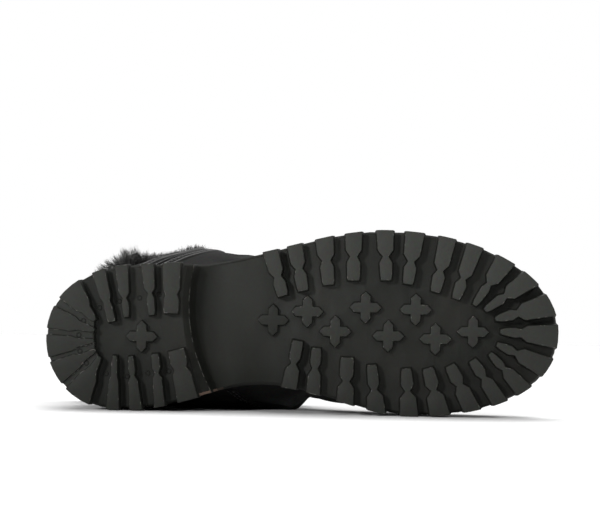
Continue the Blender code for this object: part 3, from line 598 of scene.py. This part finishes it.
bm = quadsOf("upper")
crease = bm.edges.layers.float.new("crease_edge")
for edge in bm.edges:  # the lower rim keeps its corners
    low = all(v.co.y < place(0, upperSizes["rimH"], 0).y for v in edge.verts)
    if low and edge.calc_face_angle(0) > upperSizes["rimAngle"]:
        edge[crease] = 1.0
bm = rounded(bm, upperSizes["levels"])
bm.normal_update()
inner = set()
for face in bm.faces:
    centre = inBoot(face.calc_center_median())
    if face.normal.dot(centre - axisPoint(centre.x, centre.y)) < 0:
        inner.add(face)
        face.material_index = 1
creased = []
for vert in bm.verts:
    outside = not any(face in inner for face in vert.link_faces)
    creased.append(creaseDepth(inBoot(vert.co)) if outside else 0.0)
for vert, depth in zip(bm.verts, creased):
    vert.co -= vert.normal * depth * mm
bm.normal_update()
skin = BVHTree.FromBMesh(bm)
upper = finishPiece("upper_leather", bm, [upperLeather, fleece], "upper")
storeValues(upper, "creased", "POINT", creased)


# Things sewn to the upper. A frame is a spot on the leather with its heading, its way across
# and its way up. A ray is a place inside the boot and a heading out of it, and it is followed
# from outside back to that place.
rayStart = 0.2  # metres out, clear of the boot
lap = 4  # rays repeated past each end of a closed path


def surfaceFrames(rays, smoothing=2):  # a frame where each ray meets the leather
    spots, normals = [], []
    for origin, heading in rays:
        out = Vector(heading).normalized()
        spot, normal, _, _ = skin.ray_cast(place(*origin) + out * rayStart, -out)
        spots.append(spot)
        normals.append(normal if normal.dot(out) > 0 else -normal)
    frames = []
    last = len(spots) - 1
    for k, spot in enumerate(spots):
        near = range(max(k - smoothing, 0), min(k + smoothing, last) + 1)
        normal = sum((normals[n] for n in near), Vector()).normalized()
        heading = (spots[min(k + 1, last)] - spots[max(k - 1, 0)]).normalized()
        across = heading.cross(normal).normalized()
        frames.append((spot, heading, across, across.cross(heading).normalized()))
    return frames


def closedFrames(rays):  # the same for a path that comes back to its start
    return surfaceFrames(rays[-lap:] + rays + rays[:lap])[lap:-lap]


def addSweep(bm, frames, profileAt, closed=False):  # a profile, (across, up) in mm, on a path
    rows = []
    for k, (spot, _, across, up) in enumerate(frames):
        verts = [bm.verts.new(spot + across * a * mm + up * u * mm)
                 for a, u in profileAt(k / (len(frames) - 1))]
        rows.append([bm.edges.new((v, verts[(n + 1) % len(verts)])) for n, v in enumerate(verts)])
    pairs = list(zip(rows, rows[1:]))
    if closed:
        pairs.append((rows[-1], rows[0]))
    for row, following in pairs:
        bmesh.ops.bridge_loops(bm, edges=row + following)
    if not closed:
        for row in (rows[0], rows[-1]):
            bmesh.ops.holes_fill(bm, edges=row)


def alongFrames(frames, spacing):  # frames at equal steps along a path, as matrices
    spots = [f[0] for f in frames]
    steps = [(b - a).length for a, b in zip(spots, spots[1:])]
    lengths = np.concatenate([[0.0], np.cumsum(steps)])
    made = []
    for length in np.arange(spacing / 2, lengths[-1] / mm, spacing) * mm:
        k = min(int(np.searchsorted(lengths, length)), len(frames) - 1)
        t = (length - lengths[k - 1]) / (lengths[k] - lengths[k - 1])
        spot, heading, across, up = [a.lerp(b, t) for a, b in zip(frames[k - 1], frames[k])]
        axes = [way.normalized() for way in (heading, across, up)]
        made.append(Matrix.Translation(spot) @ Matrix(axes).transposed().to_4x4())
    return made


def stamp(bm, template, matrices):  # copies of a small mesh
    for matrix in matrices:
        count = len(bm.verts)
        bm.from_mesh(template)
        bm.verts.ensure_lookup_table()
        bmesh.ops.transform(bm, matrix=matrix, verts=bm.verts[count:])


def shifted(frames, sideways, lift=0.0):  # a path moved on the leather, in mm
    return [(spot + across * sideways * mm + up * lift * mm, heading, across, up)
            for spot, heading, across, up in frames]


stitchSizes = {"length": 2.6, "pitch": 3.3, "width": 0.75, "height": 0.7}
bm = bmesh.new()
bmesh.ops.create_uvsphere(bm, u_segments=6, v_segments=6, radius=0.5 * mm,
                          matrix=Matrix.Rotation(math.pi / 2, 4, "Y"))
bmesh.ops.scale(bm, verts=bm.verts, vec=(
    stitchSizes["length"], stitchSizes["width"], stitchSizes["height"]))
stitch = newMesh("stitch", bm)

# The zip runs up the outer side. Its lips stand apart at the sole and close in at the collar.
zipSizes = {"heights": (40, 52, 62, 72, 82, 94, 108, 124, 127),
            "places": (43, 50, 56.5, 64, 70, 74.6, 77.6, 79.5, 79.8), "steps": 88, "ease": 5,
            "gapFoot": 4.2, "gapHead": 2.6, "tapeUp": 0.15, "tapeUnder": -0.7, "tapeSide": 0.8,
            "stitchOut": 6.0, "stitchUp": 0.55}
toothSizes = {"pitch": 2.0, "length": 1.15, "width": 2.1, "height": 0.9, "round": 0.28,
              "lift": 0.35, "sideways": 0.75, "from": 43, "to": 124}
# The lip's folded edge, its flat strip and its outer welt: (across from the gap, up)
lipProfiles = (
    ((0.0, -1.4), (-0.1, 0.5), (0.1, 0.85), (0.5, 0.95), (0.9, 0.75), (1.0, -0.8)),
    ((0.9, -0.8), (0.95, 0.6), (1.9, 0.45), (2.6, 0.4), (3.4, 0.45), (4.3, 0.55), (4.4, -0.8)),
    ((4.2, -0.8), (4.2, 0.5), (4.6, 0.65), (5.0, 0.5), (5.2, 0.1), (5.3, -0.8)),
)
zipHeights = np.linspace(zipSizes["heights"][0], zipSizes["heights"][-1], zipSizes["steps"])
zipPlaces = np.interp(zipHeights, zipSizes["heights"], zipSizes["places"])
ease = zipSizes["ease"]  # how many neighbours on each side its x is the mean of
zipLine = [(zipPlaces[max(k - ease, 0):k + ease + 1].mean(), h) for k, h in enumerate(zipHeights)]


def zipGap(k):  # half the space between the lips, from 0 at the foot to 1 at the head
    return zipSizes["gapFoot"] + (zipSizes["gapHead"] - zipSizes["gapFoot"]) * k


def zipRays(lowest=-math.inf, highest=math.inf):
    return [((x, h, upperSizes["middleZ"]), (0, 0, 1)) for x, h in zipLine if lowest < h < highest]


zipFrames = surfaceFrames(zipRays(), smoothing=4)
bm = bmesh.new()
for strip, profile in enumerate(lipProfiles):
    known = set(bm.faces)
    for side in (1, -1):
        addSweep(bm, zipFrames, lambda k: [(side * (zipGap(k) + a), u) for a, u in profile])
    for face in set(bm.faces) - known:
        face.material_index = strip % 2
bmesh.ops.recalc_face_normals(bm, faces=bm.faces)
finishPiece("zip_lips", bm, [edgeLeather, upperLeather], sharp=60)

bm = bmesh.new()
addSweep(bm, zipFrames, lambda k: [
    (side * (zipGap(k) + zipSizes["tapeSide"]), zipSizes[up])
    for side, up in ((1, "tapeUnder"), (1, "tapeUp"), (-1, "tapeUp"), (-1, "tapeUnder"))])
bmesh.ops.recalc_face_normals(bm, faces=bm.faces)
finishPiece("zip_tape", bm, [zipTape], sharp=40)

bm = bmesh.new()
bmesh.ops.create_cube(bm, size=1.0, matrix=Matrix.Diagonal((
    toothSizes["length"] * mm, toothSizes["width"] * mm, toothSizes["height"] * mm, 1)))
bmesh.ops.bevel(bm, geom=bm.edges, affect="EDGES", offset=toothSizes["round"] * mm, segments=1,
                profile=0.5, material=-1)
tooth = newMesh("tooth", bm)
toothFrames = surfaceFrames(zipRays(toothSizes["from"], toothSizes["to"]), smoothing=4)
toothPath = shifted(toothFrames, 0, toothSizes["lift"])
bm = bmesh.new()
for k, matrix in enumerate(alongFrames(toothPath, toothSizes["pitch"] / 2)):
    sideways = toothSizes["sideways"] * (1 if k % 2 else -1)  # the teeth alternate
    stamp(bm, tooth, [matrix @ Matrix.Translation((0, sideways * mm, 0))])
finishPiece("zip_teeth", bm, [zipPlastic], "zip_chain", sharp=30)

# The topline is a folded edge all round the collar.
collarSizes = {"axis": (68, 45), "highest": 138, "search": 0.1, "steps": 150,
               "bindingDown": 2.0, "stitchDown": 5.0, "stitchUp": 0.1}
bindingProfile = [(-2.6, -0.1), (-1.9, 0.2), (0.0, 0.35), (1.5, 0.2), (2.1, -0.4), (1.4, -1.4),
                  (0.0, -0.6), (-2.0, -0.6)]


def collarRays(down):  # round the shaft, this far below the top of its leather
    rays = []
    x0, z0 = collarSizes["axis"]
    for turn in np.linspace(0, 2 * math.pi, collarSizes["steps"], endpoint=False):
        out = Vector((math.cos(turn), 0, math.sin(turn)))
        h = collarSizes["highest"]
        spot = None
        while spot is None or (spot - place(x0, h, z0)).dot(out) < 0:
            h -= collarSizes["search"]
            spot = skin.ray_cast(place(x0, h, z0) + out * rayStart, -out)[0]
        rays.append(((x0, h - down, z0), out))
    return rays


bm = bmesh.new()
addSweep(bm, closedFrames(collarRays(collarSizes["bindingDown"])), lambda k: bindingProfile,
         closed=True)
bmesh.ops.recalc_face_normals(bm, faces=bm.faces)
finishPiece("topline_binding", bm, [edgeLeather])

# The vamp's seam runs from the sole over the instep and down the other side, and the back
# seam runs up the heel.
seamSizes = {"steps": 60, "backX": 68, "backH": (41, 126), "backSteps": 50, "backZ": 40,
             "backLean": 0.06, "stitches": ((-1.9, 0.7), (-4.2, 0.42))}  # sideways and up
vampProfile = [(-7.0, -0.5), (-5.0, 0.12), (-1.0, 0.75), (-0.3, 0.75), (0.1, 0.35), (0.2, -0.5)]
backProfile = [(-2.2, -0.4), (-1.6, 0.2), (-0.5, 0.38), (0.0, 0.0), (0.5, 0.38), (1.6, 0.2),
               (2.2, -0.4)]
seamStages = [
    # share of the way, origin x, h, z, heading x, h, z
    (0.0, 100, 38, 44, 0.0, 0.0, 1.0),
    (0.35, 110, 56, 44, 0.1, 0.1, 1.0),
    (0.65, 120, 66, 44, 0.4, 0.5, 0.75),
    (0.85, 128, 70, 45, 0.6, 0.75, 0.35),
    (1.0, 133, 70, 46, 0.7, 0.7, 0.0),
]


def seamRay(share, side):
    columns = list(zip(*seamStages))
    x, h, z, dx, dh, dz = [float(np.interp(share, columns[0], column)) for column in columns[1:]]
    return ((x, h, z), (dx, dh, dz * side))


shares = np.linspace(0, 1, seamSizes["steps"])
shares = blendBetween(0, 1, shares) * 0.5 + shares * 0.5
vampRays = [seamRay(t, 1) for t in shares] + [seamRay(t, -1) for t in shares[-2::-1]]
vampFrames = surfaceFrames(vampRays, smoothing=3)
backZ = seamSizes["backZ"]
backRays = [((seamSizes["backX"], h, backZ + (h - backZ) * seamSizes["backLean"]), (-1, 0, 0))
            for h in np.linspace(*seamSizes["backH"], seamSizes["backSteps"])]
backFrames = surfaceFrames(backRays, smoothing=3)
bm = bmesh.new()
addSweep(bm, vampFrames, lambda k: vampProfile)
addSweep(bm, backFrames, lambda k: backProfile)
bmesh.ops.recalc_face_normals(bm, faces=bm.faces)
finishPiece("panel_seams", bm, [upperLeather], sharp=50)

bm = bmesh.new()
stitchRows = [(vampFrames, *row) for row in seamSizes["stitches"]]
stitchRows += [(zipFrames, side * zipSizes["stitchOut"], zipSizes["stitchUp"]) for side in (1, -1)]
collarPath = closedFrames(collarRays(collarSizes["stitchDown"]))
stitchRows.append((collarPath + collarPath[:1], 0, collarSizes["stitchUp"]))
for path, sideways, lift in stitchRows:
    stamp(bm, stitch, alongFrames(shifted(path, sideways, lift), stitchSizes["pitch"]))
finishPiece("stitching", bm, [thread])


# The insole: short fleece on a soft board.
insoleSizes = {"levels": 2}
bm = rounded(quadsOf("insole"), insoleSizes["levels"])
finishPiece("insole_fleece", bm, [fleece], "insole", sharp=40)


# The fur. A knitted ground carries the pile. Each strand is a bent, tapered three-sided tube
# that grows from the ground and leans towards the tip of its tuft. No operator makes one, so
# its vertices are worked out here.
furSizes = {
    "levels": 2, "seed": 11, "groundInset": 0.9, "rootDepth": 1.3,
    "leatherClear": 2.2, "floorClear": 0.8,  # pile grows only this far from leather and floor
    "liningTop": 126, "middleZ": 46, "heelX": 46,  # where the four pieces part
    "outerZ": (46, 60), "innerLean": 0.6, "spread": 0.24, "bow": 1.5, "wander": 0.2, "droop": 0.08,
    "tuftSpacing": 2.3, "tuftReach": (0.75, 1.1), "pull": 0.52, "pullVaries": (0.5, 1.3),
    "floorGap": 0.25, "gapVaries": (0.3, 2.5), "ownTone": 0.6, "tuftTone": 0.4}
# name, strands, longest and shortest in mm, width at the root
furTable = [
    ("fur_heel_side", 11500, 12.0, 7.0, 0.2),
    ("fur_outer_side", 9500, 9.5, 6.0, 0.2),
    ("fur_inner_side", 12500, 11.0, 6.0, 0.28),
    ("fur_lining", 9500, 7.0, 5.0, 0.32),
]
# Rings of three corners along a strand: share of the way from its root, share of its width
strandRings = ((0.0, 1.0), (0.35, 0.9), (0.7, 0.6))
# How the pile on the outer side stands, by x: share of its length, share outwards, share up
furStand = {"x": (-10, 14, 22, 31, 38, 44, 60, 66, 73, 80, 112, 140),
            "length": (0.75, 0.8, 0.95, 1.2, 0.8, 0.72, 0.8, 0.95, 0.85, 0.8, 0.9, 1.0),
            "out": (0.75, 0.8, 0.95, 1.15, 0.65, 0.45, 0.5, 0.85, 0.65, 0.0, 0.0, 0.7),
            "up": (0.3, 0.3, 0.3, 0.3, 0.65, 0.95, 0.95, 0.85, 0.9, 1.0, 1.0, 0.4)}

ground = rounded(quadsOf("fur_collar"), furSizes["levels"])
ground.normal_update()
furAt = []  # corners, normal, centre and area of each face that is free to carry pile
for face in ground.faces:
    centre = face.calc_center_median()
    away = skin.find_nearest(centre)[3]
    if away > furSizes["leatherClear"] * mm and centre.z > furSizes["floorClear"] * mm:
        furAt.append(([v.co.copy() for v in face.verts], face.normal.copy(), centre,
                      face.calc_area()))
for vert in ground.verts:
    vert.co -= vert.normal * furSizes["groundInset"] * mm
finishPiece("fur_ground", ground, [furKnit], "fur_collar")

chance = np.random.default_rng(furSizes["seed"])
upShaft = np.array([0.0, 1.0, 0.0])


def unit(vectors):
    return vectors / np.linalg.norm(vectors, axis=-1, keepdims=True)


def furPiece(x, h, z):  # the piece of pile that grows at this place
    if h <= furSizes["liningTop"]:
        return "fur_lining"
    if z <= furSizes["middleZ"]:
        return "fur_inner_side"
    return "fur_heel_side" if x < furSizes["heelX"] else "fur_outer_side"


def growFur(name, count, longest, shortest, width):
    spots = [f for f in furAt if furPiece(*inBoot(f[2])) == name]
    corners = np.array([[f[0][k % len(f[0])] for k in range(4)] for f in spots])
    normals, areas = np.array([f[1] for f in spots]), np.array([f[3] for f in spots])
    picked = chance.choice(len(spots), count, p=areas / areas.sum())
    u, v = chance.random((2, count, 1))
    a, b, c, d = corners[picked].transpose(1, 0, 2)
    roots = (a * (1 - u) + b * u) * (1 - v) + (d * (1 - u) + c * u) * v
    roots -= normals[picked] * furSizes["groundInset"] * furSizes["rootDepth"] * mm
    x, _, z = ((roots - np.array(bootOrigin)) / mm).T
    outer = blendBetween(*furSizes["outerZ"], z)
    length, out, up = [1 + outer * (np.interp(x, furStand["x"], furStand[key]) - 1)
                       for key in ("length", "out", "up")]
    up *= 1 - furSizes["innerLean"] * (1 - outer)
    ways = unit(normals[picked] * out[:, None] + upShaft * up[:, None]
                + chance.normal(0, furSizes["spread"], (count, 3)))
    lengths = chance.uniform(shortest, longest, count) * length * mm

    # tufts: each strand follows the nearest of some strands picked at random
    tuftCount = max(int(areas.sum() / (furSizes["tuftSpacing"] * mm) ** 2), 2)
    leaders = chance.choice(count, tuftCount, replace=False)
    tree = KDTree(tuftCount)
    for k, leader in enumerate(leaders):
        tree.insert(roots[leader], k)
    tree.balance()
    tufts = leaders[[tree.find(root)[1] for root in roots]]
    reaches = (chance.uniform(*furSizes["tuftReach"], count)[tufts] * longest * length[tufts]
               * mm)
    tuftTips = roots[tufts] + ways[tufts] * reaches[:, None]
    tips = roots + ways * lengths[:, None]
    pull = (furSizes["pull"] * chance.uniform(*furSizes["pullVaries"], count))[:, None]
    tips = tips * (1 - pull) + tuftTips * pull
    tips[:, 2] -= furSizes["droop"] * lengths
    middles = (roots + unit(normals[picked] * out[:, None] + ways * furSizes["bow"])
               * lengths[:, None] * 0.5)
    middles += chance.normal(0, furSizes["wander"], (count, 3)) * lengths[:, None] * 0.5

    sides = unit(np.cross(ways, chance.normal(0, 1, (count, 3))))
    ups = np.cross(ways, sides)
    points = []
    for t, thick in strandRings:
        centre = roots * (1 - t) ** 2 + middles * 2 * t * (1 - t) + tips * t * t
        for corner in range(3):
            turn = 2 * math.pi * corner / 3
            around = sides * math.cos(turn) + ups * math.sin(turn)
            points.append(centre + around * width * thick / 2 * mm)
    points.append(tips)
    perStrand = len(points)
    points = np.array(points).transpose(1, 0, 2)
    lowest = furSizes["floorGap"] * mm * chance.uniform(*furSizes["gapVaries"], (count, 1))
    points[..., 2] = np.maximum(points[..., 2], lowest)
    faces = [(row + k, row + (k + 1) % 3, row + 3 + (k + 1) % 3, row + 3 + k)
             for row in (0, 3) for k in range(3)]
    faces += [(6 + k, 6 + (k + 1) % 3, 9) for k in range(3)]  # the point
    mesh = bpy.data.meshes.new(name)
    mesh.from_pydata(points.reshape(-1, 3), [], [
        tuple(corner + perStrand * hair for corner in face)
        for hair in range(count) for face in faces])
    bm = bmesh.new()
    bm.from_mesh(mesh)
    bmesh.ops.recalc_face_normals(bm, faces=bm.faces)
    pile = finishPiece(name, bm, [furPile])
    tones = np.clip(chance.random(count) * furSizes["ownTone"]
                    + chance.random(count)[tufts] * furSizes["tuftTone"], 0, 1)
    along = np.tile([t for t, _ in strandRings for _ in range(3)] + [1.0], count)
    storeValues(pile, "along", "POINT", along)
    storeValues(pile, "shade", "POINT", np.repeat(tones, perStrand))


for row in furTable:
    growFur(*row)
print("fur ready")
